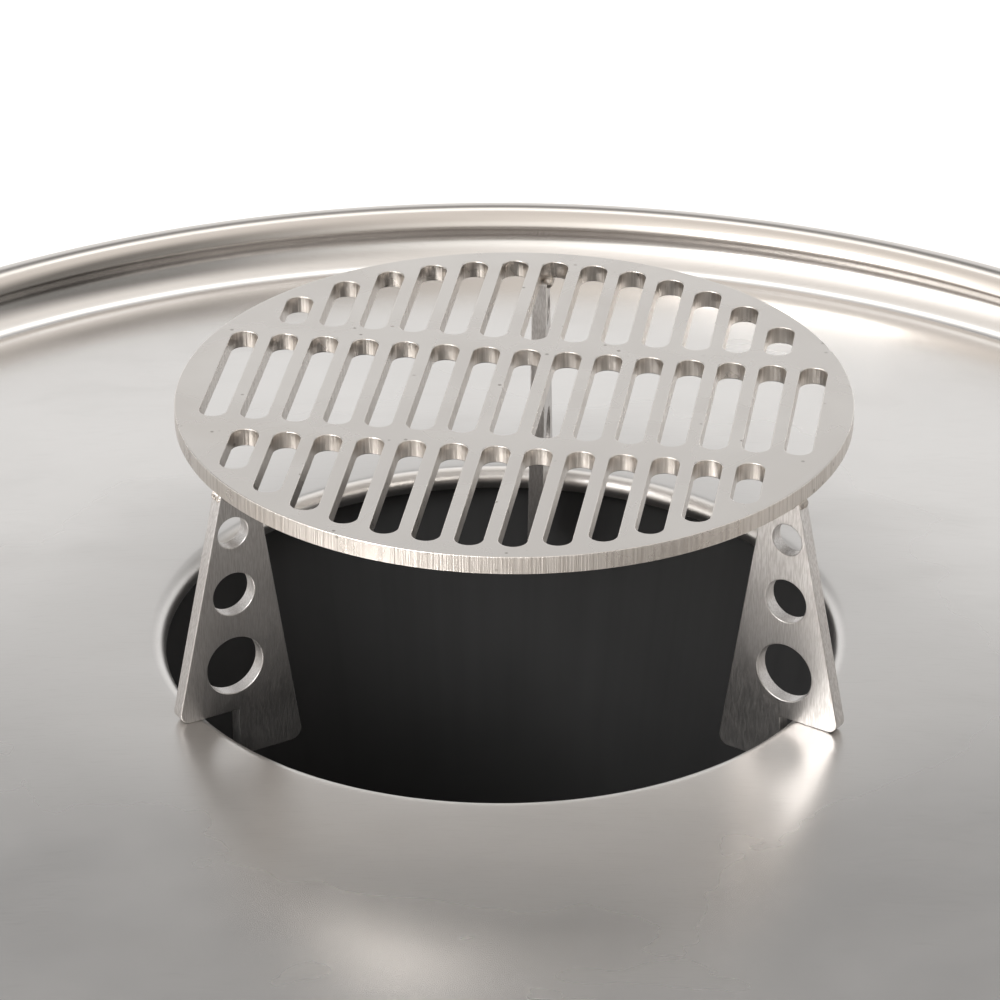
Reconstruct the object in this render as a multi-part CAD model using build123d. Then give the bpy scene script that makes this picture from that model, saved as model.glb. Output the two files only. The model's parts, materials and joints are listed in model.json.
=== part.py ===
from build123d import *
import os
from math import asin, atan2, cos, degrees, hypot, radians, sin, sqrt, tan

# Raised-grate charcoal tabletop grill. Millimetres, +Z up, origin on the table under its centre.
# The user stands on the -Y side, where the ash pan pulls out.

# Griddle plate: one spun sheet with a turned-down lip inside and a rolled bead outside.
PLATE_TOP = 216.0
PLATE_SHEET = 2.0
OPENING_RADIUS = 110.5
LIP_BEND = 5.0
LIP_DEPTH = 6.5
FLAT_RADIUS = 140.0
BEAD_CENTRE_RADIUS = 328.4
BEAD_DROP = 6.0
BEAD_RADIUS = 9.0
COVE_RADIUS = 13.0
WALL_ANGLE = 80.0
CURL_END_ANGLE = -130.0

# Cooking grate: a slotted disc on three legs that stand on the plate and reach into its opening.
# The grate is loose, and stands a little to the right in the opening.
GRATE_X, GRATE_Y = 4.7, 0.8
DISC_RADIUS = 110.0
DISC_THICKNESS = 6.0
DISC_HEIGHT = 84.5
SLOT_WIDTH = 9.0
SLOT_PITCH = 13.52
SLOT_TURN = -8.0
MIDDLE_ROW_SLOTS = 15
OUTER_ROW_SLOTS = 13
MIDDLE_ROW_LENGTH = 62.6
MIDDLE_ROW_SHIFT = 3.2
CROSS_BAR = 7.8
SLOT_CIRCLE_RADIUS = 102.9
EDGE_BREAK = 0.4
LEG_AZIMUTHS = {"leg_back": 85.0, "leg_left": 211.5, "leg_right": 326.0}
LEG_THICKNESS = 5.0
LEG_TOP_INNER, LEG_TOP_OUTER = 96.8, 109.6
LEG_FOOT_OUTER = 126.9
TAB_OUTER, TAB_INNER = 105.0, 81.6
TAB_DEPTH = 17.2
LEG_CORNER = 3.6
LEG_HOLES = [(105.6, 64.5, 5.35), (105.8, 42.5, 7.4), (106.0, 16.5, 10.05)]
WELD_SIZE = 2.4
WELD_MARGIN = 1.0

# Fire pot: a tapered pot that hangs by its flange under the plate and holds the charcoal grate.
POT_SHEET = 1.5
POT_MOUTH = 117.2
POT_FLANGE_RADIUS = 134.0
POT_NECK = 8.0
POT_TAPER = 12.0
POT_DEPTH = 150.0
POT_LEDGE_RADIUS = 68.0
CHARCOAL_RADIUS = 80.0
CHARCOAL_THICKNESS = 3.0
CHARCOAL_SLOT_WIDTH = 7.0
CHARCOAL_SLOT_PITCH = 12.0
CHARCOAL_SLOT_CIRCLE = 73.0

# Housing: a round drum with a floor, a support ring on top, feet, arms and carrying handles.
HOUSING_RADIUS = 150.0
HOUSING_SHEET = 1.5
RING_INNER = 124.0
RING_THICKNESS = 2.0
FLOOR_BOTTOM = 30.0
FLOOR_THICKNESS = 2.0
FOOT_CIRCLE = 115.0
FOOT_RADIUS = 11.0
PAD_RADIUS = 14.0
PAD_THICKNESS = 5.0
SPIGOT_RADIUS = 5.0
SPIGOT_LENGTH = 3.0
SCREW_RADIUS = 2.9
SCREW_HOLE = 3.0
SCREW_HEAD_RADIUS = 5.5
SCREW_HEAD_HEIGHT = 3.3
SCREW_HEAD_ROUND = 1.2
SCREW_BOTTOM = 12.0
STAND_AZIMUTHS = {"back": 90.0, "left": 210.0, "right": 330.0}
ARM_THICKNESS = 4.0
ARM_REACH = 262.0
ARM_BOTTOM = 120.0
ARM_TIP = 9.0
ARM_GAP = 0.6
ARM_CORNER = 4.0
ARM_HOLES = [(172.0, 180.0, 14.0), (203.0, 187.0, 9.5), (228.0, 192.0, 6.5)]
ARM_WELD_MARGIN = 5.0
HANDLE_Z = 150.0
HANDLE_HALF_SPAN = 45.0
HANDLE_REACH = 192.0
HANDLE_ROD = 4.5
HANDLE_BEND = 12.0
GRIP_RADIUS = 9.0
GRIP_LENGTH = 60.0
GRIP_ROUND = 3.0
BOSS_RADIUS = 9.0
BOSS_END = 149.0
BOSS_STOCK = 20.0

# Ash pan: a drawer on two rails, with a curved front that covers the window in the drum.
RAIL_INNER, RAIL_OUTER = 62.0, 74.0
RAIL_FRONT, RAIL_BACK = -120.0, 95.0
RAIL_HEIGHT = 8.0
PAN_HALF_WIDTH = 77.0
PAN_BACK = 94.0
PAN_HEIGHT = 20.0
PAN_SHEET = 1.2
WINDOW_HALF_WIDTH = 80.0
WINDOW_MARGIN = 1.2
PAN_FRONT_RADIUS = 150.4
FRONT_SHEET = 1.6
FRONT_HALF_WIDTH = 88.0
FRONT_OVERLAP = 4.0
PULL_HALF_SPAN = 22.0
PULL_REACH = 174.0
PULL_START = 140.0
PULL_ROD = 2.5
PULL_BEND = 8.0

# Air vent: a turning shutter under the floor, with a lever that sticks out on the right.
VENT_HOLES = 6
VENT_CIRCLE = 42.0
VENT_HOLE_RADIUS = 11.0
SHUTTER_RADIUS = 62.0
SHUTTER_THICKNESS = 1.5
SHUTTER_GAP = 0.2
PIVOT_RADIUS = 3.0
PIVOT_CLEARANCE = 0.05
PIVOT_HEAD_RADIUS = 7.0
PIVOT_HEAD_HEIGHT = 1.8
LEVER_WIDTH = 14.0
LEVER_REACH = 163.0
LEVER_AZIMUTH = -15.0
LEVER_GAP = 2.0
KNOB_RADIUS = 6.0
KNOB_HEIGHT = 13.0
KNOB_ROUND = 2.5

# Levels that follow from the dimensions above.
FLOOR_TOP = FLOOR_BOTTOM + FLOOR_THICKNESS
PLATE_UNDERSIDE = PLATE_TOP - PLATE_SHEET
RING_TOP = PLATE_UNDERSIDE - POT_SHEET
RING_BOTTOM = RING_TOP - RING_THICKNESS
LEDGE_TOP = PLATE_TOP - POT_DEPTH + POT_SHEET
PAN_BOTTOM = FLOOR_TOP + RAIL_HEIGHT
DISC_BOTTOM = PLATE_TOP + DISC_HEIGHT - DISC_THICKNESS
SHUTTER_TOP = FLOOR_BOTTOM - SHUTTER_GAP

parts = {}


def at(radius, height):
    """A point of a section in the XZ half-plane."""
    return Vector(radius, 0, height)


def polar(centre, radius, angle):
    """The point at an angle on a circle of the section, in degrees from +X towards +Z."""
    return centre + Vector(radius * cos(radians(angle)), 0, radius * sin(radians(angle)))


def arc(centre, radius, start, end):
    """An arc of the section between two angles."""
    middle = (start + end) / 2
    return ThreePointArc(*(polar(centre, radius, angle) for angle in (start, middle, end)))


def turned(edges):
    """A solid of revolution about Z, from the closed outline of its section."""
    return revolve(Face(Wire(edges)), Axis.Z)


def turned_polygon(points):
    """A solid of revolution about Z, from (radius, height) corners."""
    corners = [at(*point) for point in points]
    return turned(Polyline(*corners, close=True).edges())


def cylinder(radius, bottom, top, x=0.0, y=0.0):
    """An upright cylinder between two levels."""
    shape = Cylinder(radius, top - bottom, align=(Align.CENTER, Align.CENTER, Align.MIN))
    return Pos(x, y, bottom) * shape


def box(x_range, y_range, z_range):
    """A box between its lowest and highest corners."""
    sides = [high - low for low, high in (x_range, y_range, z_range)]
    corner = Pos(x_range[0], y_range[0], z_range[0])
    return corner * Box(*sides, align=(Align.MIN, Align.MIN, Align.MIN))


def radial_fin(face, thickness, azimuth):
    """A flat plate on a radial plane, from its face in the XZ half-plane."""
    return Rot(0, 0, azimuth) * extrude(face, thickness / 2, both=True)


def cone_tangent():
    """The tangent from the plate's flat edge to the cove: its angle and where it touches."""
    bead_centre = at(BEAD_CENTRE_RADIUS, PLATE_TOP - BEAD_DROP)
    crease_angle = 90 + WALL_ANGLE
    cove_centre = polar(bead_centre, BEAD_RADIUS + COVE_RADIUS, crease_angle)
    run = cove_centre - at(FLAT_RADIUS, PLATE_TOP)
    distance = hypot(run.X, run.Z)
    angle = degrees(atan2(run.Z, run.X) - asin(COVE_RADIUS / distance))
    return bead_centre, cove_centre, crease_angle, angle


def plate_underside(radius):
    """The height of the plate's underside at a radius on its sloping part."""
    slope = radians(-cone_tangent()[3])
    return PLATE_TOP - PLATE_SHEET / cos(slope) - (radius - FLAT_RADIUS) * tan(slope)


def griddle_plate():
    """Lip, flat ring, gentle outward fall, cove, and a bead curled outward."""
    bead_centre, cove_centre, crease_angle, fall = cone_tangent()
    lip_centre = at(OPENING_RADIUS + LIP_BEND, PLATE_TOP - LIP_BEND)
    lip_end = PLATE_TOP - LIP_DEPTH
    inner_bend = LIP_BEND - PLATE_SHEET
    under_bend = PLATE_SHEET * tan(radians(-fall / 2))
    outer_cove = COVE_RADIUS + PLATE_SHEET
    inner_bead = BEAD_RADIUS - PLATE_SHEET
    cove_start, cove_end = fall - 90, crease_angle - 180
    flat_top = at(FLAT_RADIUS, PLATE_TOP)
    flat_under = at(FLAT_RADIUS - under_bend, PLATE_UNDERSIDE)
    curl_end = polar(bead_centre, BEAD_RADIUS, CURL_END_ANGLE)
    edges = [
        Line(at(OPENING_RADIUS, lip_end), polar(lip_centre, LIP_BEND, 180)),
        arc(lip_centre, LIP_BEND, 180, 90),
        Line(polar(lip_centre, LIP_BEND, 90), flat_top),
        Line(flat_top, polar(cove_centre, COVE_RADIUS, cove_start)),
        arc(cove_centre, COVE_RADIUS, cove_start, cove_end),
        arc(bead_centre, BEAD_RADIUS, crease_angle, CURL_END_ANGLE),
        Line(curl_end, polar(bead_centre, inner_bead, CURL_END_ANGLE)),
        arc(bead_centre, inner_bead, CURL_END_ANGLE, crease_angle),
        arc(cove_centre, outer_cove, cove_end, cove_start),
        Line(polar(cove_centre, outer_cove, cove_start), flat_under),
        Line(flat_under, polar(lip_centre, inner_bend, 90)),
        arc(lip_centre, inner_bend, 90, 180),
        Line(polar(lip_centre, inner_bend, 180), at(OPENING_RADIUS + PLATE_SHEET, lip_end)),
        Line(at(OPENING_RADIUS + PLATE_SHEET, lip_end), at(OPENING_RADIUS, lip_end)),
    ]
    return turned(edges)


def slot(x, y_start, y_end, width):
    """A round-ended slot along Y between two ends."""
    return Pos(x, (y_start + y_end) / 2) * Rot(0, 0, 90) * SlotOverall(y_end - y_start, width)


def cooking_disc():
    """Three rows of slots in aligned columns; the outer rows end on a circle."""
    half_row = MIDDLE_ROW_LENGTH / 2
    row_front, row_back = MIDDLE_ROW_SHIFT - half_row, MIDDLE_ROW_SHIFT + half_row
    slots = []
    for column in range(MIDDLE_ROW_SLOTS):
        x = (column - (MIDDLE_ROW_SLOTS - 1) / 2) * SLOT_PITCH
        slots.append(slot(x, row_front, row_back, SLOT_WIDTH))
    for column in range(OUTER_ROW_SLOTS):
        x = (column - (OUTER_ROW_SLOTS - 1) / 2) * SLOT_PITCH
        reach = sqrt(SLOT_CIRCLE_RADIUS**2 - x**2)
        slots.append(slot(x, -reach, row_front - CROSS_BAR, SLOT_WIDTH))
        slots.append(slot(x, row_back + CROSS_BAR, reach, SLOT_WIDTH))
    sheet = Circle(DISC_RADIUS) - slots
    disc = extrude(sheet, DISC_THICKNESS)
    disc = chamfer(disc.faces().sort_by(Axis.Z)[-1].edges(), EDGE_BREAK)
    return Pos(GRATE_X, GRATE_Y, DISC_BOTTOM) * Rot(0, 0, SLOT_TURN) * disc


def grate_leg(azimuth):
    """A trapezoid fin: an outer foot on the plate and an inner tab in the opening."""
    corners = [
        at(LEG_TOP_INNER, DISC_BOTTOM),
        at(LEG_TOP_OUTER, DISC_BOTTOM),
        at(LEG_FOOT_OUTER, PLATE_TOP),
        at(TAB_OUTER, PLATE_TOP),
        at(TAB_OUTER, PLATE_TOP - TAB_DEPTH),
        at(TAB_INNER, PLATE_TOP - TAB_DEPTH),
    ]
    face = Face(Wire(Polyline(*corners, close=True).edges()))
    rounded = [corners[2], corners[4], corners[5]]
    face = face.fillet_2d(LEG_CORNER, [nearest_vertex(face, corner) for corner in rounded])
    fin = radial_fin(face, LEG_THICKNESS, 0)
    for radius, height, hole_radius in LEG_HOLES:
        fin -= drilled(radius, PLATE_TOP + height, hole_radius, LEG_THICKNESS)
    return Pos(GRATE_X, GRATE_Y) * Rot(0, 0, azimuth) * fin


def nearest_vertex(face, point):
    """The vertex of a face at a known corner."""
    return min(face.vertices(), key=lambda vertex: (Vector(vertex) - point).length)


def drilled(radius, height, hole_radius, thickness):
    """The cutter of a hole through a fin on the XZ plane."""
    return Pos(radius, 0, height) * Rot(90, 0, 0) * Cylinder(hole_radius, 2 * thickness)


def leg_weld(azimuth):
    """Two fillet welds along a leg's top corners, under the disc."""
    start, end = LEG_TOP_INNER + WELD_MARGIN, LEG_TOP_OUTER - WELD_MARGIN
    strips = []
    for side in (1, -1):
        y = side * LEG_THICKNESS / 2
        corners = [
            (start, y, DISC_BOTTOM),
            (start, y + side * WELD_SIZE, DISC_BOTTOM),
            (start, y, DISC_BOTTOM - WELD_SIZE),
        ]
        section = Face(Wire(Polyline(*corners, close=True).edges()))
        strip = Solid.extrude(section, Vector(end - start, 0, 0))
        strips.append(Pos(GRATE_X, GRATE_Y) * Rot(0, 0, azimuth) * strip)
    return strips


def pot_inner_radius(height):
    """The pot's inside radius at a height below its neck."""
    return POT_MOUTH - (PLATE_UNDERSIDE - POT_NECK - height) * tan(radians(POT_TAPER))


def fire_pot():
    """Flange, straight neck, tapered wall and an inward ledge at the bottom."""
    wall = POT_SHEET / cos(radians(POT_TAPER))
    neck_end = PLATE_UNDERSIDE - POT_NECK
    bottom = PLATE_TOP - POT_DEPTH
    outer_neck = POT_MOUTH + POT_SHEET
    outer_neck_end = neck_end - (wall - POT_SHEET) / tan(radians(POT_TAPER))
    return turned_polygon([
        (POT_MOUTH, PLATE_UNDERSIDE),
        (POT_FLANGE_RADIUS, PLATE_UNDERSIDE),
        (POT_FLANGE_RADIUS, RING_TOP),
        (outer_neck, RING_TOP),
        (outer_neck, outer_neck_end),
        (pot_inner_radius(bottom) + wall, bottom),
        (POT_LEDGE_RADIUS, bottom),
        (POT_LEDGE_RADIUS, LEDGE_TOP),
        (pot_inner_radius(LEDGE_TOP), LEDGE_TOP),
        (POT_MOUTH, neck_end),
    ])


def charcoal_grate():
    """A slotted disc lying on the pot's ledge."""
    columns = int(CHARCOAL_SLOT_CIRCLE // CHARCOAL_SLOT_PITCH)
    slots = []
    for column in range(-columns + 1, columns):
        x = column * CHARCOAL_SLOT_PITCH
        reach = sqrt(CHARCOAL_SLOT_CIRCLE**2 - x**2)
        slots.append(slot(x, -reach, -CROSS_BAR / 2, CHARCOAL_SLOT_WIDTH))
        slots.append(slot(x, CROSS_BAR / 2, reach, CHARCOAL_SLOT_WIDTH))
    return Pos(0, 0, LEDGE_TOP) * extrude(Circle(CHARCOAL_RADIUS) - slots, CHARCOAL_THICKNESS)


def housing_shell():
    """The drum's wall with the ash pan's window."""
    wall = cylinder(HOUSING_RADIUS, FLOOR_BOTTOM, RING_BOTTOM)
    wall -= cylinder(HOUSING_RADIUS - HOUSING_SHEET, FLOOR_BOTTOM, RING_BOTTOM)
    levels = (PAN_BOTTOM - WINDOW_MARGIN, PAN_BOTTOM + PAN_HEIGHT + WINDOW_MARGIN)
    window = box((-WINDOW_HALF_WIDTH, WINDOW_HALF_WIDTH), (-2 * HOUSING_RADIUS, 0), levels)
    return wall - window


def support_ring():
    """The flat ring on the drum that the pot's flange hangs on."""
    outer = cylinder(HOUSING_RADIUS, RING_BOTTOM, RING_TOP)
    return outer - cylinder(RING_INNER, RING_BOTTOM, RING_TOP)


def ring_places(count, radius):
    """Evenly spaced places on a circle."""
    angles = [radians(360 * i / count) for i in range(count)]
    return [(radius * cos(angle), radius * sin(angle)) for angle in angles]


def stand_place(azimuth):
    """A foot's place on its circle."""
    return FOOT_CIRCLE * cos(radians(azimuth)), FOOT_CIRCLE * sin(radians(azimuth))


def housing_floor():
    """The drum's floor with six air holes, the pivot's hole and three screw holes."""
    floor = cylinder(HOUSING_RADIUS - HOUSING_SHEET, FLOOR_BOTTOM, FLOOR_TOP)
    for place in ring_places(VENT_HOLES, VENT_CIRCLE):
        floor -= cylinder(VENT_HOLE_RADIUS, FLOOR_BOTTOM, FLOOR_TOP, *place)
    for azimuth in STAND_AZIMUTHS.values():
        floor -= cylinder(SCREW_HOLE, FLOOR_BOTTOM, FLOOR_TOP, *stand_place(azimuth))
    return floor - cylinder(PIVOT_RADIUS, FLOOR_BOTTOM, FLOOR_TOP)


def vent_shutter():
    """A disc with six matching holes and a lever that reaches past the drum."""
    bottom = SHUTTER_TOP - SHUTTER_THICKNESS
    half = LEVER_WIDTH / 2
    plate = cylinder(SHUTTER_RADIUS, bottom, SHUTTER_TOP)
    start = VENT_CIRCLE + VENT_HOLE_RADIUS + LEVER_GAP
    lever = box((start, LEVER_REACH), (-half, half), (bottom, SHUTTER_TOP))
    lever += cylinder(half, bottom, SHUTTER_TOP, LEVER_REACH, 0)
    plate += Rot(0, 0, LEVER_AZIMUTH) * lever
    for place in ring_places(VENT_HOLES, VENT_CIRCLE):
        plate -= cylinder(VENT_HOLE_RADIUS, bottom, SHUTTER_TOP, *place)
    return plate - cylinder(PIVOT_RADIUS + PIVOT_CLEARANCE, bottom, SHUTTER_TOP)


def vent_rivet():
    """The shutter's pivot: a pin flush with the floor and a head under the shutter."""
    head_top = SHUTTER_TOP - SHUTTER_THICKNESS - SHUTTER_GAP
    pin = cylinder(PIVOT_RADIUS, head_top, FLOOR_TOP)
    return pin + cylinder(PIVOT_HEAD_RADIUS, head_top - PIVOT_HEAD_HEIGHT, head_top)


def vent_knob():
    """A round knob on the lever's end."""
    knob = cylinder(KNOB_RADIUS, SHUTTER_TOP, SHUTTER_TOP + KNOB_HEIGHT, LEVER_REACH, 0)
    knob = fillet(knob.edges().sort_by(Axis.Z)[-1], KNOB_ROUND)
    return Rot(0, 0, LEVER_AZIMUTH) * knob


def stand_arm(azimuth):
    """A gusset under the plate, with three holes that shrink outward."""
    inner_top = plate_underside(HOUSING_RADIUS) - ARM_GAP
    outer_top = plate_underside(ARM_REACH) - ARM_GAP
    corners = [
        at(HOUSING_RADIUS, ARM_BOTTOM),
        at(HOUSING_RADIUS, inner_top),
        at(ARM_REACH, outer_top),
        at(ARM_REACH, outer_top - ARM_TIP),
    ]
    face = Face(Wire(Polyline(*corners, close=True).edges()))
    tips = [nearest_vertex(face, corner) for corner in corners[2:]]
    face = face.fillet_2d(ARM_CORNER, tips)
    fin = radial_fin(face, ARM_THICKNESS, 0)
    for radius, height, hole_radius in ARM_HOLES:
        fin -= drilled(radius, height, hole_radius, ARM_THICKNESS)
    return Rot(0, 0, azimuth) * fin


def arm_weld(azimuth):
    """Two upright fillet welds where an arm meets the drum."""
    welds = []
    for side in (1, -1):
        y = side * ARM_THICKNESS / 2
        start = at(HOUSING_RADIUS, 0) + Vector(0, y, ARM_BOTTOM + ARM_WELD_MARGIN)
        corners = [start, start + Vector(WELD_SIZE, 0, 0), start + Vector(0, side * WELD_SIZE, 0)]
        section = Face(Wire(Polyline(*corners, close=True).edges()))
        strip = Solid.extrude(section, Vector(0, 0, RING_BOTTOM - ARM_BOTTOM - 2 * ARM_WELD_MARGIN))
        welds.append(Rot(0, 0, azimuth) * strip)
    return welds


def stand_foot(azimuth):
    """A turned foot with a spigot for its pad and a threaded hole for its screw."""
    place = stand_place(azimuth)
    foot = cylinder(FOOT_RADIUS, PAD_THICKNESS, FLOOR_BOTTOM, *place)
    foot += cylinder(SPIGOT_RADIUS, PAD_THICKNESS - SPIGOT_LENGTH, PAD_THICKNESS, *place)
    return foot - cylinder(SCREW_HOLE, SCREW_BOTTOM, FLOOR_BOTTOM, *place)


def foot_pad(azimuth):
    """A rubber pad with a recess for the foot's spigot."""
    place = stand_place(azimuth)
    pad = cylinder(PAD_RADIUS, 0, PAD_THICKNESS, *place)
    return pad - cylinder(SPIGOT_RADIUS, PAD_THICKNESS - SPIGOT_LENGTH, PAD_THICKNESS, *place)


def foot_screw(azimuth):
    """A pan-head screw down through the floor into the foot."""
    place = stand_place(azimuth)
    head = cylinder(SCREW_HEAD_RADIUS, FLOOR_TOP, FLOOR_TOP + SCREW_HEAD_HEIGHT, *place)
    head = fillet(head.edges().sort_by(Axis.Z)[-1], SCREW_HEAD_ROUND)
    return head + cylinder(SCREW_RADIUS, SCREW_BOTTOM, FLOOR_TOP, *place)


def bent_rod(points, bend, radius):
    """A round rod along straight runs with rounded corners."""
    path = FilletPolyline(*points, radius=bend)
    section = Plane(origin=path @ 0, z_dir=path % 0) * Circle(radius)
    return sweep(section, path=path)


def handle_bar():
    """A U-shaped rod on the drum's +X side."""
    ends = [(BOSS_END, side * HANDLE_HALF_SPAN, HANDLE_Z) for side in (-1, 1)]
    corners = [(HANDLE_REACH, side * HANDLE_HALF_SPAN, HANDLE_Z) for side in (-1, 1)]
    return bent_rod([ends[0], *corners, ends[1]], HANDLE_BEND, HANDLE_ROD)


def handle_grip():
    """A turned sleeve on the rod's middle."""
    grip = Cylinder(GRIP_RADIUS, GRIP_LENGTH)
    grip = fillet(grip.edges().filter_by(GeomType.CIRCLE), GRIP_ROUND)
    grip -= Cylinder(HANDLE_ROD, GRIP_LENGTH)
    return Pos(HANDLE_REACH, 0, HANDLE_Z) * Rot(90, 0, 0) * grip


def handle_boss(side):
    """A round boss between the rod's end and the curved wall."""
    boss = Cylinder(BOSS_RADIUS, BOSS_STOCK, align=(Align.CENTER, Align.CENTER, Align.MAX))
    boss = Pos(BOSS_END, side * HANDLE_HALF_SPAN, HANDLE_Z) * Rot(0, 90, 0) * boss
    return boss - cylinder(HOUSING_RADIUS, ARM_BOTTOM, RING_BOTTOM)


def pan_rail(side):
    """A flat rail that the ash pan slides on."""
    ends = sorted((side * RAIL_INNER, side * RAIL_OUTER))
    return box(ends, (RAIL_FRONT, RAIL_BACK), (FLOOR_TOP, PAN_BOTTOM))


def ash_pan():
    """An open tray with a curved front wall."""
    top = PAN_BOTTOM + PAN_HEIGHT
    far_front = -2 * HOUSING_RADIUS
    outer = box((-PAN_HALF_WIDTH, PAN_HALF_WIDTH), (far_front, PAN_BACK), (PAN_BOTTOM, top))
    outer &= cylinder(PAN_FRONT_RADIUS, PAN_BOTTOM, top)
    half = PAN_HALF_WIDTH - PAN_SHEET
    inner = box((-half, half), (far_front, PAN_BACK - PAN_SHEET), (PAN_BOTTOM + PAN_SHEET, top))
    inner &= cylinder(PAN_FRONT_RADIUS - PAN_SHEET, PAN_BOTTOM, top)
    return outer - inner


def ash_pan_front():
    """A curved strip, wider and taller than the window."""
    levels = (PAN_BOTTOM - FRONT_OVERLAP, PAN_BOTTOM + PAN_HEIGHT + FRONT_OVERLAP)
    strip = cylinder(PAN_FRONT_RADIUS + FRONT_SHEET, *levels) - cylinder(PAN_FRONT_RADIUS, *levels)
    return strip & box((-FRONT_HALF_WIDTH, FRONT_HALF_WIDTH), (-2 * HOUSING_RADIUS, 0), levels)


def ash_pan_pull():
    """A small U-shaped pull with ends that follow the curved front."""
    height = PAN_BOTTOM + PAN_HEIGHT / 2
    ends = [(side * PULL_HALF_SPAN, -PULL_START, height) for side in (-1, 1)]
    corners = [(side * PULL_HALF_SPAN, -PULL_REACH, height) for side in (-1, 1)]
    rod = bent_rod([ends[0], *corners, ends[1]], PULL_BEND, PULL_ROD)
    return rod - cylinder(PAN_FRONT_RADIUS + FRONT_SHEET, 0, PLATE_TOP)


parts["griddle_plate"] = griddle_plate()
parts["grate_disc"] = cooking_disc()
leg_welds = []
for name, azimuth in LEG_AZIMUTHS.items():
    parts[name] = grate_leg(azimuth)
    leg_welds += leg_weld(azimuth)
parts["leg_welds"] = Compound(children=leg_welds)

parts["fire_pot"] = fire_pot()
parts["charcoal_grate"] = charcoal_grate()

parts["housing_shell"] = housing_shell()
parts["housing_floor"] = housing_floor()
parts["support_ring"] = support_ring()
arm_welds = []
foot_screws = []
for name, azimuth in STAND_AZIMUTHS.items():
    parts["arm_" + name] = stand_arm(azimuth)
    parts["foot_" + name] = stand_foot(azimuth)
    parts["pad_" + name] = foot_pad(azimuth)
    arm_welds += arm_weld(azimuth)
    foot_screws.append(foot_screw(azimuth))
parts["arm_welds"] = Compound(children=arm_welds)
parts["foot_screws"] = Compound(children=foot_screws)

for name, turn in (("right", 0), ("left", 180)):
    parts["handle_bar_" + name] = Rot(0, 0, turn) * handle_bar()
    parts["handle_grip_" + name] = Rot(0, 0, turn) * handle_grip()
    bosses = [Rot(0, 0, turn) * handle_boss(side) for side in (-1, 1)]
    parts["handle_bosses_" + name] = Compound(children=bosses)
    parts["pan_rail_" + name] = pan_rail(1 if name == "right" else -1)

parts["ash_pan"] = ash_pan()
parts["ash_pan_front"] = ash_pan_front()
parts["ash_pan_pull"] = ash_pan_pull()

parts["vent_shutter"] = vent_shutter()
parts["vent_rivet"] = vent_rivet()
parts["vent_knob"] = vent_knob()

os.makedirs("parts", exist_ok=True)
for name, shape in parts.items():
    export_step(shape, "parts/" + name + ".step")
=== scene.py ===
import json
from math import asin, atan2, cos, degrees, hypot, pi, radians, sin, sqrt, tan

import bmesh
import bpy
from mathutils import Matrix, Vector, noise

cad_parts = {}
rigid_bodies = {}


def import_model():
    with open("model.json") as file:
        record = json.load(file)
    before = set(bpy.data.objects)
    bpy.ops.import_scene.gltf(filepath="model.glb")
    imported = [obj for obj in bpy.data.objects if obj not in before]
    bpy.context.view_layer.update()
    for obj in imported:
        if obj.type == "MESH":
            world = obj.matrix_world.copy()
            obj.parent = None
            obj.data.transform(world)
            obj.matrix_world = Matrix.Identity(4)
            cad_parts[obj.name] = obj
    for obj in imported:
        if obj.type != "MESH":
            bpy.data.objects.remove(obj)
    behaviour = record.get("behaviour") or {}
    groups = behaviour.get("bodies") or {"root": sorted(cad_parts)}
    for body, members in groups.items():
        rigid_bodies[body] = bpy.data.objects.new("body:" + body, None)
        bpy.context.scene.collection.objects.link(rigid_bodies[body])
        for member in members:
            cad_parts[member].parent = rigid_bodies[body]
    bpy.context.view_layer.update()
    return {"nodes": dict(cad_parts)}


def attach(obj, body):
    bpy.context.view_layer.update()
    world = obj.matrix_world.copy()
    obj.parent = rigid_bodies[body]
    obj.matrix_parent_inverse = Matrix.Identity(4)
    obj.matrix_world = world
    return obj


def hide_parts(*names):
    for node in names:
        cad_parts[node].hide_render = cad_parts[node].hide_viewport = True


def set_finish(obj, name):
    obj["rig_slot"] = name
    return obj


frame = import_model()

# Lengths below are in millimetres, as in the CAD, and become metres in the meshes.
MM = 0.001

# Griddle plate section.
PLATE_TOP = 216.0
PLATE_SHEET = 2.0
OPENING_RADIUS = 110.5
LIP_BEND = 5.0
LIP_DEPTH = 6.5
FLAT_RADIUS = 140.0
BEAD_CENTRE_RADIUS = 328.4
BEAD_DROP = 6.0
BEAD_RADIUS = 9.0
COVE_RADIUS = 13.0
WALL_ANGLE = 80.0
CURL_END_ANGLE = -130.0
SLOPE_BEND = 500.0

# Cooking grate.
GRATE_X, GRATE_Y = 4.7, 0.8
DISC_RADIUS = 110.0
DISC_THICKNESS = 6.0
DISC_HEIGHT = 84.5
SLOT_WIDTH = 9.0
SLOT_PITCH = 13.52
SLOT_TURN = -8.0
MIDDLE_ROW_SLOTS = 15
OUTER_ROW_SLOTS = 13
MIDDLE_ROW_LENGTH = 62.6
MIDDLE_ROW_SHIFT = 3.2
CROSS_BAR = 7.8
SLOT_CIRCLE_RADIUS = 102.9
LEG_AZIMUTHS = {"leg_back": 85.0, "leg_left": 211.5, "leg_right": 326.0}
LEG_THICKNESS = 5.0
LEG_TOP_INNER, LEG_TOP_OUTER = 96.8, 109.6
LEG_FOOT_OUTER = 126.9
TAB_OUTER, TAB_INNER = 105.0, 81.6
TAB_DEPTH = 17.2
LEG_CORNER = 3.6
LEG_HOLES = [(105.6, 64.5, 5.35), (105.8, 42.5, 7.4), (106.0, 16.5, 10.05)]
DISC_BOTTOM = PLATE_TOP + DISC_HEIGHT - DISC_THICKNESS
EDGE_ROUND = 0.4
SHARP_LEG_CORNER = 0.5

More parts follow.
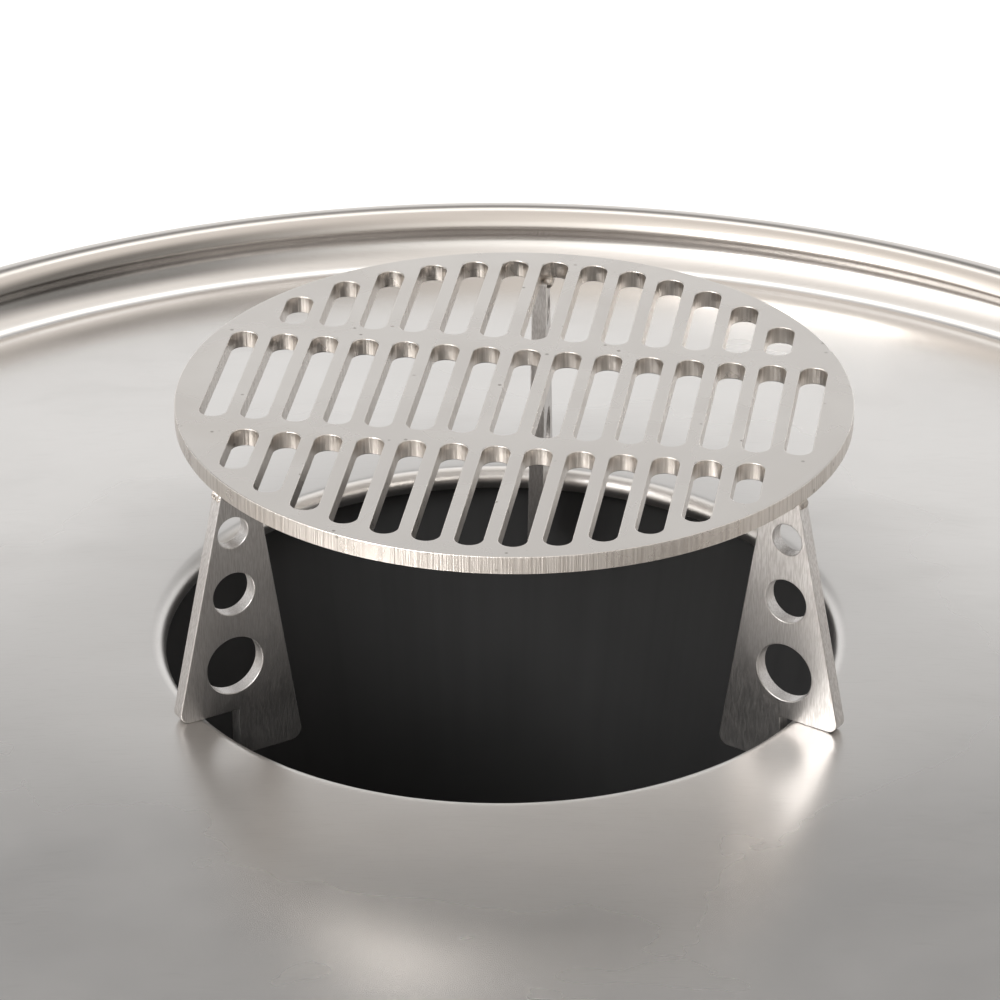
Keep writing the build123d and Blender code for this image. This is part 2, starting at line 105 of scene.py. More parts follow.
# Weld beads: two along each leg's top and one across its outer end.
WELD_INNER, WELD_OUTER = 98.0, 108.8
WELD_RADIUS = 1.7
WELD_GAP = 0.2
WELD_SINK = 0.5
END_WELD_PLACE = 109.0
END_WELD_RADIUS = 1.5
END_WELD_DROP = 0.6

# Fire pot section.
POT_SHEET = 1.5
POT_MOUTH = 117.2
POT_FLANGE_RADIUS = 134.0
POT_NECK = 8.0
POT_TAPER = 12.0
POT_DEPTH = 150.0
POT_LEDGE_RADIUS = 68.0
POT_FLANGE_GAP = 0.05
POT_BEND = 3.0
PLATE_UNDERSIDE = PLATE_TOP - PLATE_SHEET

# Steps round the turned meshes, and the angle above which their edges stay sharp.
PLATE_STEPS = 720
POT_STEPS = 360
SHARP_ANGLE = 30.0


# ---------------------------------------------------------------- meshes

def new_piece(name, bm, body, slot, nodes):
    """A mesh object that stands for CAD nodes and rides on their body."""
    mesh = bpy.data.meshes.new(name)
    bm.to_mesh(mesh)
    bm.free()
    piece = bpy.data.objects.new(name, mesh)
    bpy.context.scene.collection.objects.link(piece)
    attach(piece, body)
    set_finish(piece, slot)
    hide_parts(*nodes)
    return piece


def arc_points(centre, radius, start, end, count):
    """Points of an arc of a section, angles in degrees from +X towards +Y."""
    angles = [radians(start + (end - start) * i / count) for i in range(count + 1)]
    return [(centre[0] + radius * cos(a), centre[1] + radius * sin(a)) for a in angles]


def lathe(points, segments):
    """A closed section of (radius, height) points turned about Z."""
    bm = bmesh.new()
    rings = []
    for i in range(segments):
        angle = 2 * pi * i / segments
        c, s = cos(angle) * MM, sin(angle) * MM
        rings.append([bm.verts.new((r * c, r * s, z * MM)) for r, z in points])
    count = len(points)
    for i in range(segments):
        here, there = rings[i], rings[(i + 1) % segments]
        for j in range(count):
            k = (j + 1) % count
            bm.faces.new((here[j], there[j], there[k], here[k])).smooth = True
    bmesh.ops.recalc_face_normals(bm, faces=bm.faces)
    for edge in bm.edges:
        if edge.calc_face_angle(0.0) > radians(SHARP_ANGLE):
            edge.smooth = False
    return bm


def outward_normals(loop):
    """For each point of a closed 2-D loop, the miter direction to the right of travel."""
    result = []
    for i, point in enumerate(loop):
        before = (point - loop[i - 1]).normalized()
        after = (loop[(i + 1) % len(loop)] - point).normalized()
        normal = Vector((before.y + after.y, -before.x - after.x)).normalized()
        reach = 1 / max(0.5, normal.dot(Vector((after.y, -after.x))))
        result.append((normal, reach))
    return result


def flat_part(loops, bottom, top, edge, steps=4):
    """A flat plate with rounded edges: loops[0] runs anticlockwise round the outside, the rest clockwise."""
    bm = bmesh.new()
    rows = []
    for i in range(steps + 1):
        a = pi / 2 * i / steps
        rows.append((edge * (1 - sin(a)), top - edge * (1 - cos(a)), cos(a)))
    for i in range(steps + 1):
        a = pi / 2 * (1 - i / steps)
        rows.append((edge * (1 - sin(a)), bottom + edge * (1 - cos(a)), -cos(a)))
    normals = []
    top_edges, bottom_edges = [], []
    for loop in loops:
        outs = outward_normals(loop)
        grid = []
        for inset, height, lift in rows:
            row = []
            for point, (out, reach) in zip(loop, outs):
                place = point - out * inset * reach
                row.append(bm.verts.new((place.x * MM, place.y * MM, height * MM)))
                flat = sqrt(max(0.0, 1 - lift * lift))
                normals.append(Vector((out.x * flat, out.y * flat, lift)))
            grid.append(row)
        count = len(loop)
        for upper, lower in zip(grid, grid[1:]):
            for i in range(count):
                j = (i + 1) % count
                bm.faces.new((upper[j], upper[i], lower[i], lower[j]))
        for i in range(count):
            j = (i + 1) % count
            top_edges.append(bm.edges.get((grid[0][i], grid[0][j])))
            bottom_edges.append(bm.edges.get((grid[-1][i], grid[-1][j])))
    for edges in (top_edges, bottom_edges):
        bmesh.ops.triangle_fill(bm, edges=edges, use_beauty=True, use_dissolve=False)
    bmesh.ops.recalc_face_normals(bm, faces=bm.faces)
    for face in bm.faces:
        face.smooth = True
    return bm, normals


def clockwise(loop):
    """The loop in the opposite direction."""
    return loop[::-1]


def circle_loop(x, y, radius, count):
    """An anticlockwise circle."""
    return [Vector((x + radius * cos(2 * pi * i / count), y + radius * sin(2 * pi * i / count)))
            for i in range(count)]


def slot_loop(x, start, end, width, turn, cap_points=24):
    """An anticlockwise round-ended slot along Y, turned about the origin."""
    r = width / 2
    points = [Vector((x + r * cos(a), end - r + r * sin(a)))
              for a in (pi * i / cap_points for i in range(cap_points + 1))]
    points += [Vector((x - r * cos(a), start + r - r * sin(a)))
               for a in (pi * i / cap_points for i in range(cap_points + 1))]
    rotation = Matrix.Rotation(radians(turn), 2)
    return [rotation @ p for p in points]


def rounded_loop(corners, radii, count=10):
    """An anticlockwise polygon whose corners are rounded by their radii."""
    loop = []
    for i, corner in enumerate(corners):
        before, after = corners[i - 1], corners[(i + 1) % len(corners)]
        a, b = (before - corner).normalized(), (after - corner).normalized()
        half = a.angle(b) / 2
        reach = radii[i] / tan(half)
        centre = corner + (a + b).normalized() * radii[i] / sin(half)
        first, last = corner + a * reach - centre, corner + b * reach - centre
        sweep = first.angle_signed(last)
        for k in range(count + 1):
            loop.append(centre + Matrix.Rotation(-sweep * k / count, 2) @ first)
    return loop


def set_normals(piece, normals):
    """Exact normals for the vertices of a flat part."""
    piece.data.normals_split_custom_set_from_vertices([tuple(n) for n in normals])


# Griddle plate: the lip, the flat ring, the outward fall, the cove and the curled bead.

def plate_section():
    """The closed section of the plate, with fine arcs."""
    bead = (BEAD_CENTRE_RADIUS, PLATE_TOP - BEAD_DROP)
    crease = 90 + WALL_ANGLE
    reach = BEAD_RADIUS + COVE_RADIUS
    cove = (bead[0] + reach * cos(radians(crease)), bead[1] + reach * sin(radians(crease)))
    run = (cove[0] - FLAT_RADIUS, cove[1] - PLATE_TOP)
    fall = degrees(atan2(run[1], run[0]) - asin(COVE_RADIUS / hypot(*run)))
    lip = (OPENING_RADIUS + LIP_BEND, PLATE_TOP - LIP_BEND)
    under = PLATE_SHEET * tan(radians(-fall / 2))
    points = [(OPENING_RADIUS, PLATE_TOP - LIP_DEPTH)]
    points += arc_points(lip, LIP_BEND, 180, 90, 12)
    half = SLOPE_BEND * tan(radians(-fall / 2))
    points += arc_points((FLAT_RADIUS - half, PLATE_TOP - SLOPE_BEND), SLOPE_BEND, 90, 90 + fall, 16)
    points += arc_points(cove, COVE_RADIUS, fall - 90, crease - 180, 48)
    points += arc_points(bead, BEAD_RADIUS, crease, CURL_END_ANGLE, 72)[1:]
    points += arc_points(bead, BEAD_RADIUS - PLATE_SHEET, CURL_END_ANGLE, crease, 48)
    points += arc_points(cove, COVE_RADIUS + PLATE_SHEET, crease - 180, fall - 90, 32)[1:]
    points.append((FLAT_RADIUS - under, PLATE_UNDERSIDE))
    points += arc_points(lip, LIP_BEND - PLATE_SHEET, 90, 180, 8)
    points.append((OPENING_RADIUS + PLATE_SHEET, PLATE_TOP - LIP_DEPTH))
    return points


new_piece("plate_look", lathe(plate_section(), PLATE_STEPS), "griddle", "plate_steel", ["griddle_plate"])


# Grate disc.

def disc_loops():
    """The disc's outline and its three rows of slots."""
    half = MIDDLE_ROW_LENGTH / 2
    front, back = MIDDLE_ROW_SHIFT - half, MIDDLE_ROW_SHIFT + half
    slots = []
    for column in range(MIDDLE_ROW_SLOTS):
        x = (column - (MIDDLE_ROW_SLOTS - 1) / 2) * SLOT_PITCH
        slots.append(slot_loop(x, front, back, SLOT_WIDTH, SLOT_TURN))
    for column in range(OUTER_ROW_SLOTS):
        x = (column - (OUTER_ROW_SLOTS - 1) / 2) * SLOT_PITCH
        reach = sqrt(SLOT_CIRCLE_RADIUS**2 - x**2)
        slots.append(slot_loop(x, -reach, front - CROSS_BAR, SLOT_WIDTH, SLOT_TURN))
        slots.append(slot_loop(x, back + CROSS_BAR, reach, SLOT_WIDTH, SLOT_TURN))
    return [circle_loop(0, 0, DISC_RADIUS, 360)] + [clockwise(s) for s in slots]


grate_place = Matrix.Translation((GRATE_X * MM, GRATE_Y * MM, 0))
bm, normals = flat_part(disc_loops(), DISC_BOTTOM, DISC_BOTTOM + DISC_THICKNESS, EDGE_ROUND)
bm.transform(grate_place)
disc = new_piece("grate_disc_look", bm, "cooking_grate", "grate_steel", ["grate_disc"])
set_normals(disc, normals)


# Grate legs.

def leg_loops():
    """A leg's outline and holes in (radius, height)."""
    corners = [Vector(p) for p in (
        (TAB_INNER, PLATE_TOP - TAB_DEPTH), (TAB_OUTER, PLATE_TOP - TAB_DEPTH),
        (TAB_OUTER, PLATE_TOP), (LEG_FOOT_OUTER, PLATE_TOP),
        (LEG_TOP_OUTER, DISC_BOTTOM), (LEG_TOP_INNER, DISC_BOTTOM))]
    radii = [LEG_CORNER, LEG_CORNER, SHARP_LEG_CORNER, LEG_CORNER, SHARP_LEG_CORNER, SHARP_LEG_CORNER]
    holes = [circle_loop(r, PLATE_TOP + h, hole, 72) for r, h, hole in LEG_HOLES]
    return [rounded_loop(corners, radii)] + [clockwise(h) for h in holes]


for node, azimuth in LEG_AZIMUTHS.items():
    half = LEG_THICKNESS / 2
    bm, normals = flat_part(leg_loops(), -half, half, EDGE_ROUND)
    stand = Matrix.Rotation(radians(azimuth), 4, "Z") @ Matrix.Rotation(pi / 2, 4, "X")
    bm.transform(grate_place @ stand)
    leg = new_piece(node + "_look", bm, "cooking_grate", "leg_steel", [node])
    set_normals(leg, [stand.to_3x3() @ n for n in normals])


# Weld beads between the legs and the disc.

def weld_bead(bm, start, end, radius, seed):
    """A rippled bead from start to end: a tube of overlapping puddles, closed at both ends."""
    rings, around = 28, 14
    along = end - start
    side = along.cross(Vector((0, 0, 1))).normalized()
    up = side.cross(along).normalized()
    rows = []
    for i in range(rings + 1):
        t = i / rings
        swell = 1 + 0.16 * sin(t * 2 * pi * 5 + seed) + 0.18 * noise.noise(Vector((t * 6, seed, 0)))
        cap = sqrt(max(0.0, 1 - (2 * t - 1) ** 8))
        row = []
        for j in range(around):
            a = 2 * pi * j / around
            r = radius * swell * cap + 0.02
            centre = start + along * t
            place = centre + side * r * cos(a) + up * r * sin(a)
            row.append(bm.verts.new(place * MM))
        rows.append(row)
    for lower, upper in zip(rows, rows[1:]):
        for j in range(around):
            k = (j + 1) % around
            bm.faces.new((lower[j], lower[k], upper[k], upper[j])).smooth = True
    bm.faces.new(rows[0][::-1])
    bm.faces.new(rows[-1])


bm = bmesh.new()
for number, azimuth in enumerate(LEG_AZIMUTHS.values()):
    turn = Matrix.Rotation(radians(azimuth), 3, "Z")
    level = DISC_BOTTOM - WELD_SINK
    half = LEG_THICKNESS / 2
    for side in (1, -1):
        y = side * (half + WELD_GAP)
        start = turn @ Vector((WELD_INNER, y, level))
        end = turn @ Vector((WELD_OUTER, y, level))
        weld_bead(bm, start, end, WELD_RADIUS, number * 3.1 + side)
    start = turn @ Vector((END_WELD_PLACE, -half, level - END_WELD_DROP))
    end = turn @ Vector((END_WELD_PLACE, half, level - END_WELD_DROP))
    weld_bead(bm, start, end, END_WELD_RADIUS, number * 5.7 + 2)
bmesh.ops.recalc_face_normals(bm, faces=bm.faces)
bm.transform(grate_place)
new_piece("leg_welds_look", bm, "cooking_grate", "weld_bead", ["leg_welds"])


# Fire pot: a smooth tapered pot.

def pot_inner(height):
    """The pot's inside radius at a height below its neck."""
    return POT_MOUTH - (PLATE_UNDERSIDE - POT_NECK - height) * tan(radians(POT_TAPER))


def pot_section():
    """The closed section of the pot, with a bend at its mouth and at its ledge."""
    wall = POT_SHEET / cos(radians(POT_TAPER))
    neck_end = PLATE_UNDERSIDE - POT_NECK
    bottom = PLATE_TOP - POT_DEPTH
    ledge = bottom + POT_SHEET
    top = PLATE_UNDERSIDE - POT_FLANGE_GAP
    under_flange = PLATE_UNDERSIDE - POT_SHEET
    foot = pot_inner(ledge)
    reach = POT_BEND * tan(radians(90 - POT_TAPER) / 2)
    centre = (foot - reach, ledge + POT_BEND)
    return [
        (POT_MOUTH, top),
        (POT_FLANGE_RADIUS, top),
        (POT_FLANGE_RADIUS, under_flange),
        (POT_MOUTH + POT_SHEET, under_flange),
        (POT_MOUTH + POT_SHEET, neck_end),
        (pot_inner(bottom) + wall, bottom),
        (POT_LEDGE_RADIUS, bottom),
        (POT_LEDGE_RADIUS, ledge),
        *arc_points(centre, POT_BEND, -90, -POT_TAPER, 8),
        (POT_MOUTH - 0.15, neck_end - 1.0),
        (POT_MOUTH, neck_end + 0.6),
    ]


new_piece("fire_pot_look", lathe(pot_section(), POT_STEPS), "fire_pot", "black_enamel", ["fire_pot"])


# ---------------------------------------------------------------- materials
# Noise scales are in grains to the metre, and heights of relief in metres.

class Tree:
    """A node material: a Principled shader and short calls that add nodes to it."""

    def __init__(self, name, color, metallic, roughness):
        self.material = bpy.data.materials.new(name)
        self.material.use_nodes = True
        self.nodes = self.material.node_tree.nodes
        self.links = self.material.node_tree.links
        self.shader = self.nodes["Principled BSDF"]
        self.shader.inputs["Base Color"].default_value = (*color, 1)
        self.shader.inputs["Metallic"].default_value = metallic
        self.shader.inputs["Roughness"].default_value = roughness
        self.object = self.nodes.new("ShaderNodeTexCoord").outputs["Object"]

    def new(self, kind, settings=None, **values):
        """A node with its settings and inputs; an input named _0 is found by its number."""
        node = self.nodes.new("ShaderNode" + kind)
        for key, value in (settings or {}).items():
            setattr(node, key, value)
        for key, value in values.items():
            socket = node.inputs[int(key[1:])] if key[1:].isdigit() else node.inputs[key]
            if isinstance(value, bpy.types.NodeSocket):
                self.links.new(value, socket)
            else:
                socket.default_value = value
        return node

    def math(self, operation, a, b=0.0):
        """A sum, a product and the like; b is left out where there is one input."""
        return self.new("Math", {"operation": operation}, _0=a, _1=b).outputs[0]

    def stretch(self, scale, source=None):
        """The object's coordinates, scaled by axis."""
        return self.new("Mapping", None, Vector=source or self.object, Scale=scale).outputs[0]

    def noise(self, scale, detail=3.0, vector=None, roughness=0.5, distortion=0.0):
        """Soft noise, on the object's coordinates unless others are given."""
        return self.new("TexNoise", None, Vector=vector or self.object, Scale=scale, Detail=detail,
                        Roughness=roughness, Distortion=distortion).outputs["Fac"]

    def spread(self, value, low, high, to_low=0.0, to_high=1.0):
        """A value between low and high, moved to another range."""
        node = self.new("MapRange", {"interpolation_type": "SMOOTHSTEP"}, Value=value)
        for key, number in (("From Min", low), ("From Max", high), ("To Min", to_low), ("To Max", to_high)):
            node.inputs[key].default_value = number
        return node.outputs[0]

    def mix(self, factor, a, b):
        """A colour between two colours."""
        node = self.new("Mix", {"data_type": "RGBA"})
        for index, value in ((0, factor), (6, a), (7, b)):
            if isinstance(value, bpy.types.NodeSocket):
                self.links.new(value, node.inputs[index])
            else:
                node.inputs[index].default_value = value if index == 0 else (*value, 1)
        return node.outputs[2]

    def set(self, socket, value):
        """A value into one of the shader's inputs."""
        self.links.new(value, self.shader.inputs[socket])

    def bump(self, height, strength, distance):
        """A relief, on top of any that is already there."""
        node = self.new("Bump", None, Height=height, Strength=strength, Distance=distance)
        if self.shader.inputs["Normal"].links:
            self.links.new(self.shader.inputs["Normal"].links[0].from_socket, node.inputs["Normal"])
        self.set("Normal", node.outputs[0])

    def ring_coordinate(self):
        """(radius, azimuth, height) about Z, for grain that runs round the object."""
        split = self.new("SeparateXYZ", None, Vector=self.object).outputs
        radius = self.math("SQRT", self.math("ADD", self.math("MULTIPLY", split[0], split[0]),
                                             self.math("MULTIPLY", split[1], split[1])))
        angle = self.math("ARCTAN2", split[1], split[0])
        return self.new("CombineXYZ", None, X=radius, Y=angle, Z=split[2]).outputs[0], radius


def plate_steel():
    """Satin spun sheet: faint rings, a rolled grain, cloudy polish and smudges."""
    color = (0.70, 0.68, 0.66)
    t = Tree("plate_steel", color, 1.0, 0.24)
    ring, radius = t.ring_coordinate()
    clouds = t.noise(7.0, 4.0, distortion=0.8)
    smudge = t.noise(16.0, 3.0, t.stretch((1.0, 2.0, 1.0)), 0.5, 0.5)
    rings = t.noise(1.0, 2.0, t.stretch((2600.0, 6.0, 900.0), ring))
    rolled = t.noise(1.0, 3.0, t.stretch((90.0, 2400.0, 900.0)))
    near_rim = t.spread(radius, 0.29, 0.312)
    base = t.math("ADD", t.spread(clouds, 0.3, 0.7, 0.21, 0.27), t.spread(smudge, 0.4, 0.9, 0.0, 0.03))
    near_fire = t.spread(radius, 0.2, 0.125, 0.0, 0.07)
    polished = t.math("SUBTRACT", base, t.math("MULTIPLY", near_rim, 0.06))
    t.set("Roughness", t.math("ADD", near_fire, polished))
    dull = t.math("MULTIPLY", t.spread(smudge, 0.45, 0.9), 0.22)
    grain = t.noise(1.0, 3.0, t.stretch((120.0, 1600.0, 900.0)))
    marks = t.math("ADD", dull, t.spread(grain, 0.5, 0.75, 0.0, 0.12))
    bead_start = BEAD_CENTRE_RADIUS - BEAD_RADIUS
    bead = t.spread(radius, (bead_start - 1) * MM, (bead_start + 1) * MM, 0.0, 0.8)
    ground = t.mix(bead, color, (0.58, 0.54, 0.50))
    t.set("Base Color", t.mix(marks, ground, (0.5, 0.48, 0.455)))
    t.bump(rings, 0.02, 0.0002)
    t.bump(rolled, 0.012, 0.0002)
    t.bump(t.noise(9.0, 3.0), 0.16, 0.003)
    return t.material


def grate_steel():
    """Laser-cut plate: satin faces with faint specks, upright striations on cut walls."""
    color = (0.70, 0.665, 0.63)
    t = Tree("grate_steel", color, 1.0, 0.26)
    clouds = t.noise(26.0, 4.0, distortion=0.6)
    up = t.new("SeparateXYZ", None, Vector=t.new("NewGeometry").outputs["Normal"]).outputs[2]
    wall = t.spread(t.math("ABSOLUTE", up), 0.9, 0.5)
    t.set("Roughness", t.math("ADD", t.spread(clouds, 0.3, 0.7, 0.23, 0.33), t.math("MULTIPLY", wall, 0.03)))
    striation = t.noise(1.0, 3.0, t.stretch((1500.0, 1500.0, 45.0)))
    scored = t.math("MULTIPLY", t.spread(striation, 0.42, 0.66), t.math("MULTIPLY", wall, 0.45))
    t.bump(t.math("MULTIPLY", striation, wall), 0.9, 0.0003)
    specks = t.new("TexVoronoi", None, Vector=t.object, Scale=190.0).outputs["Distance"]
    rare = t.spread(t.noise(45.0, 2.0), 0.56, 0.62)
    dark = t.math("MULTIPLY", t.math("MULTIPLY", t.spread(specks, 0.16, 0.07), rare), 0.75)
    stain = t.math("MULTIPLY", t.spread(t.noise(14.0, 5.0, distortion=1.0), 0.5, 0.75), 0.22)
    warm = t.mix(stain, color, (0.60, 0.545, 0.49))
    cut = t.mix(scored, warm, (0.42, 0.385, 0.35))
    t.set("Base Color", t.mix(dark, cut, (0.30, 0.27, 0.24)))
    t.bump(t.noise(1.0, 2.0, t.stretch((2200.0, 260.0, 800.0))), 0.035, 0.0001)
    t.bump(t.noise(30.0, 2.0), 0.1, 0.001)
    return t.material


def leg_steel():
    """Brushed plate with its grain upright."""
    color = (0.66, 0.645, 0.635)
    t = Tree("leg_steel", color, 1.0, 0.3)
    grain = t.noise(1.0, 3.0, t.stretch((2600.0, 2600.0, 260.0)))
    t.set("Roughness", t.math("ADD", t.spread(grain, 0.3, 0.7, 0.34, 0.46),
                              t.spread(t.noise(45.0, 3.0), 0.4, 0.7, 0.0, 0.04)))
    worn = t.mix(t.spread(t.noise(60.0, 4.0), 0.45, 0.75, 0.0, 0.25), color, (0.54, 0.515, 0.50))
    t.set("Base Color", t.mix(t.spread(grain, 0.38, 0.62, 0.0, 0.55), worn, (0.42, 0.40, 0.385)))
    t.bump(grain, 0.035, 0.0001)
    return t.material


def weld_metal(name, color, metallic):
    """A rippled bead, browned by heat."""
    t = Tree(name, color, metallic, 0.38)
    heat = t.noise(400.0, 3.0)
    brown = tuple(c * 0.45 for c in color)
    t.set("Base Color", t.mix(t.spread(heat, 0.45, 0.7), color, brown))
    t.bump(t.noise(900.0, 2.0), 0.4, 0.0003)
    return t.material


def black_enamel():
    """Black heat-proof enamel with a light orange peel; its colour carries painted shade in soft darker
    vertical streaks round the wall, and painted shade darker towards the bottom, lighter near the mouth.
    """
    t = Tree("black_enamel", (0.03, 0.03, 0.031), 0.0, 0.45)
    ring, _ = t.ring_coordinate()
    height = t.new("SeparateXYZ", None, Vector=t.object).outputs[2]
    t.set("Roughness", t.spread(t.noise(18.0, 3.0), 0.3, 0.7, 0.40, 0.50))
    # Painted shade: soft darker vertical streaks round the pot's wall.
    painted_streak_shade = t.spread(t.noise(1.0, 3.0, t.stretch((9.0, 14.0, 3.0), ring)), 0.4, 0.75)
    # Painted shade and light: the wall's colour runs darker towards the bottom of the pot and lighter near
    # its mouth.
    painted_depth_shade = t.mix(t.spread(height, 0.06, 0.19), (0.006, 0.006, 0.006), (0.046, 0.046, 0.047))
    t.set("Base Color", t.mix(t.math("MULTIPLY", painted_streak_shade, 0.2), painted_depth_shade, (0.012, 0.012, 0.012)))
    t.bump(t.noise(260.0, 2.0), 0.04, 0.0004)
    return t.material


def satin_paint(name, color, roughness, grain_scale, strength):
    """Paint, plastic or rubber with a fine even texture and slight wear in its sheen."""
    t = Tree(name, color, 0.0, roughness)
    t.set("Roughness", t.spread(t.noise(35.0, 4.0), 0.3, 0.7, roughness - 0.07, roughness + 0.07))
    dusty = tuple(min(1.0, c * 1.5 + 0.01) for c in color)
    t.set("Base Color", t.mix(t.spread(t.noise(22.0, 5.0), 0.5, 0.8), color, dusty))
    t.bump(t.noise(grain_scale, 2.0), strength, 0.0003)
    return t.material


def cast_iron():
    """Sand-cast iron with a coarse skin."""
    t = Tree("cast_iron", (0.05, 0.048, 0.046), 0.6, 0.6)
    t.bump(t.noise(700.0, 4.0), 0.6, 0.0005)
    rusty = t.spread(t.noise(60.0, 4.0), 0.5, 0.8)
    t.set("Base Color", t.mix(rusty, (0.05, 0.048, 0.046), (0.085, 0.07, 0.06)))
    return t.material


def rolled_steel(name, color, roughness, stretch):
    """Plain steel with a rolled grain."""
    t = Tree(name, color, 1.0, roughness)
    grain = t.noise(1.0, 3.0, t.stretch(stretch))
    t.set("Roughness", t.spread(grain, 0.3, 0.7, roughness - 0.06, roughness + 0.06))
    t.bump(grain, 0.12, 0.0002)
    return t.material


MATERIALS = {
    "plate_steel": plate_steel(),
    "grate_steel": grate_steel(),
    "leg_steel": leg_steel(),
    "weld_bead": weld_metal("weld_bead", (0.55, 0.51, 0.47), 1.0),
    "black_weld": weld_metal("black_weld", (0.05, 0.05, 0.05), 0.0),
    "black_enamel": black_enamel(),
    "black_housing": satin_paint("black_housing", (0.025, 0.025, 0.027), 0.45, 900.0, 0.25),
    "cast_iron": cast_iron(),
    "trim_steel": rolled_steel("trim_steel", (0.62, 0.61, 0.60), 0.28, (900.0, 900.0, 900.0)),
    "sheet_steel": rolled_steel("sheet_steel", (0.48, 0.48, 0.48), 0.38, (60.0, 1500.0, 1500.0)),
    "grip_black": satin_paint("grip_black", (0.03, 0.03, 0.03), 0.5, 1400.0, 0.2),
    "foot_rubber": satin_paint("foot_rubber", (0.03, 0.03, 0.03), 0.7, 1000.0, 0.3),
}

# CAD nodes come in with their slot's name on their material; the new pieces carry it as a property.
for node in frame["nodes"].values():
    imported = node.material_slots[0].material.name.split(".")[0] if node.material_slots else ""
    if imported in MATERIALS:
        node.data.materials.clear()
        node.data.materials.append(MATERIALS[imported])
for piece in list(bpy.data.objects):
    if piece.get("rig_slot") in MATERIALS:
        piece.data.materials.append(MATERIALS[piece["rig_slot"]])


# ---------------------------------------------------------------- floor, light and camera, in metres

FLOOR_RADIUS = 9.0


def floor():
    """A pale sweep floor under the grill."""
    bm = bmesh.new()
    bmesh.ops.create_circle(bm, cap_ends=True, radius=FLOOR_RADIUS, segments=96)
    mesh = bpy.data.meshes.new("floor")
    bm.to_mesh(mesh)
    bm.free()
    piece = bpy.data.objects.new("floor", mesh)
    bpy.context.scene.collection.objects.link(piece)
    t = Tree("floor_paper", (0.93, 0.93, 0.93), 0.0, 0.6)
    t.bump(t.noise(400.0, 2.0), 0.02, 0.0005)
    mesh.materials.append(t.material)


# The room's light by its angle over the grill, in degrees: 0 is level behind it, 90 above and 180 level
# in front.
LIGHT_BY_TILT = [
    (-180, (0.55, 0.50, 0.46)), (-20, 1.05), (24, 1.05), (30, 0.72), (37, 0.36), (52, 0.30),
    (60, (1.25, 1.23, 1.2)), (80, (1.08, 1.03, 0.98)), (128, (1.08, 1.03, 0.98)),
    (140, (1.3, 1.27, 1.22)), (153, (1.3, 1.27, 1.22)), (161, (0.20, 0.17, 0.15)),
    (180, (0.14, 0.12, 0.11))]

# In front of the grill that light is multiplied: more on the left (-1), less on the right (1).
LIGHT_BY_SIDE = [(-1, 1.8), (-0.45, 1.5), (0.1, 0.95), (0.5, 0.3), (1, 0.14)]


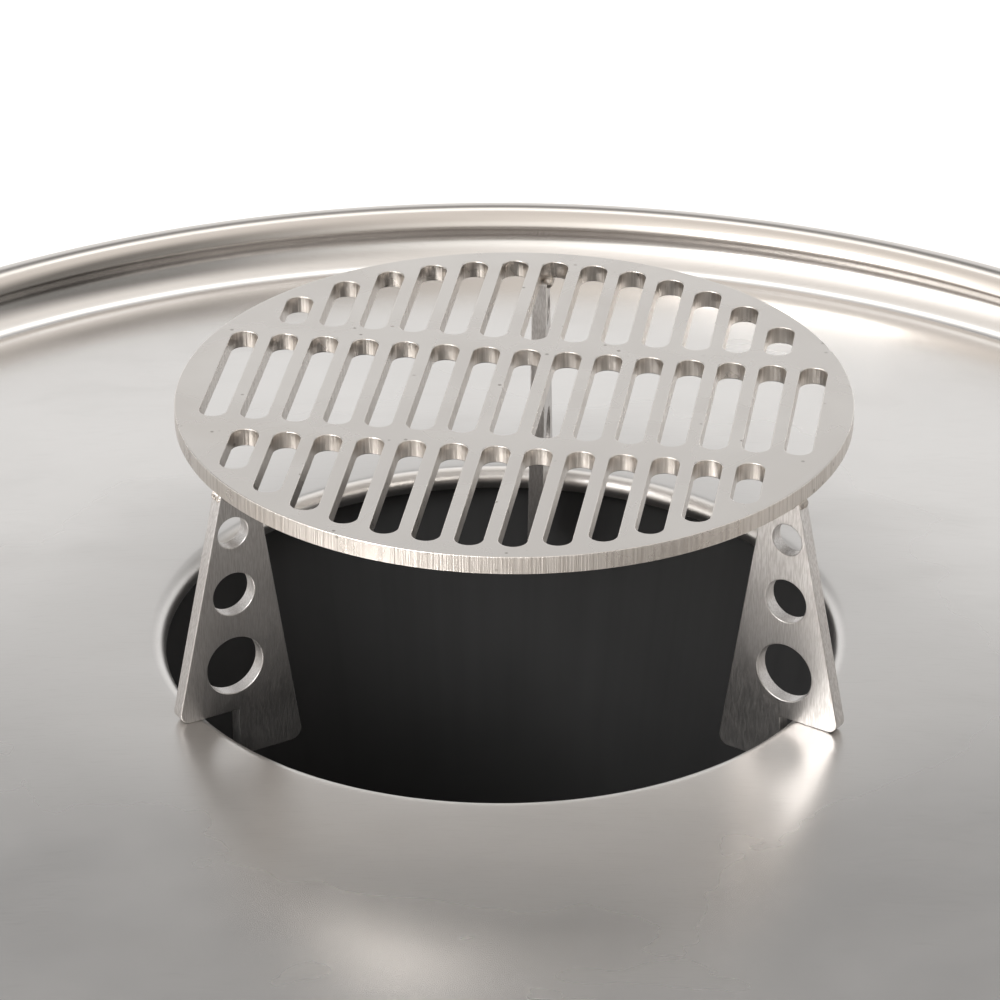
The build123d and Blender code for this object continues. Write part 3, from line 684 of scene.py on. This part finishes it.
def studio():
    """The room's light by direction: a white sweep behind, soft light above, a darker room in front."""
    world = bpy.data.worlds.new("studio")
    bpy.context.scene.world = world
    world.use_nodes = True
    nodes, links = world.node_tree.nodes, world.node_tree.links
    nodes.clear()

    def new(kind, *inputs, **settings):
        node = nodes.new("ShaderNode" + kind)
        for key, value in settings.items():
            setattr(node, key, value)
        for socket, value in zip(node.inputs, inputs):
            if isinstance(value, bpy.types.NodeSocket):
                links.new(value, socket)
            else:
                socket.default_value = value
        return node

    def math(operation, *inputs):
        return new("Math", *inputs, operation=operation).outputs[0]

    def ramp(value, stops, low, high):
        node = new("ValToRGB", math("DIVIDE", math("SUBTRACT", value, low), high - low))
        elements = node.color_ramp.elements
        while len(elements) < len(stops):
            elements.new(0.5)
        for element, (place, color) in zip(elements, stops):
            element.position = (place - low) / (high - low)
            element.color = (*(color if isinstance(color, tuple) else (color,) * 3), 1)
        return node.outputs[0]

    direction = new("TexCoord").outputs["Generated"]
    x, y, z = new("SeparateXYZ", direction).outputs
    tilt = math("MULTIPLY", math("ARCTAN2", z, y), 180 / pi)
    over = ramp(tilt, LIGHT_BY_TILT, -180, 180)
    front = math("MAXIMUM", math("MULTIPLY", y, -1.0), 0.0)
    side = ramp(x, LIGHT_BY_SIDE, -1, 1)
    shade = new("Mix", data_type="RGBA", blend_type="MULTIPLY")
    links.new(math("MINIMUM", math("MULTIPLY", front, 2.5), 1.0), shade.inputs[0])
    links.new(over, shade.inputs[6])
    links.new(side, shade.inputs[7])
    background = new("Background", shade.outputs[2], 1.0)
    links.new(background.outputs[0], nodes.new("ShaderNodeOutputWorld").inputs[0])


def area_light(name, place, target, size, power):
    """A square soft light at a point, aimed at another."""
    light = bpy.data.lights.new(name, "AREA")
    light.shape = "SQUARE"
    light.size = size
    light.energy = power
    lamp = bpy.data.objects.new(name, light)
    bpy.context.scene.collection.objects.link(lamp)
    lamp.location = place
    aim = Vector(target) - Vector(place)
    lamp.rotation_euler = aim.to_track_quat("-Z", "Y").to_euler()
    return lamp


CAMERA_PLACE = Vector((0.00597, -1.50159, 1.05384))
CAMERA_DOWN = 27.781
CAMERA_TURN = -0.222
CAMERA_ROLL = 0.064
CAMERA_SENSOR = 36.0
CAMERA_LENS = 5.1866 * CAMERA_SENSOR


def camera():
    """The camera, from its place, direction and roll."""
    down, turn, roll = radians(CAMERA_DOWN), radians(CAMERA_TURN), radians(CAMERA_ROLL)
    forward = Vector((sin(turn) * cos(down), cos(turn) * cos(down), -sin(down)))
    right = forward.cross(Vector((0, 0, 1))).normalized()
    up = right.cross(forward)
    right, up = right * cos(roll) + up * sin(roll), up * cos(roll) - right * sin(roll)
    data = bpy.data.cameras.new("camera")
    data.sensor_width = CAMERA_SENSOR
    data.lens = CAMERA_LENS
    data.clip_start, data.clip_end = 0.05, 50.0
    eye = bpy.data.objects.new("camera", data)
    bpy.context.scene.collection.objects.link(eye)
    axes = Matrix((right, up, -forward)).transposed().to_4x4()
    eye.matrix_world = Matrix.Translation(CAMERA_PLACE) @ axes
    bpy.context.scene.camera = eye


floor()
studio()
area_light("key", (-1.45, -1.5, 1.85), (0, 0, 0.2), 1.1, 44.0)
sweep = area_light("sweep", (0, 1.5, 1.3), (0, 1.5, 0), 1.6, 3.5)
sweep.data.spread = radians(90)
camera()
bpy.context.scene.view_settings.view_transform = "Standard"
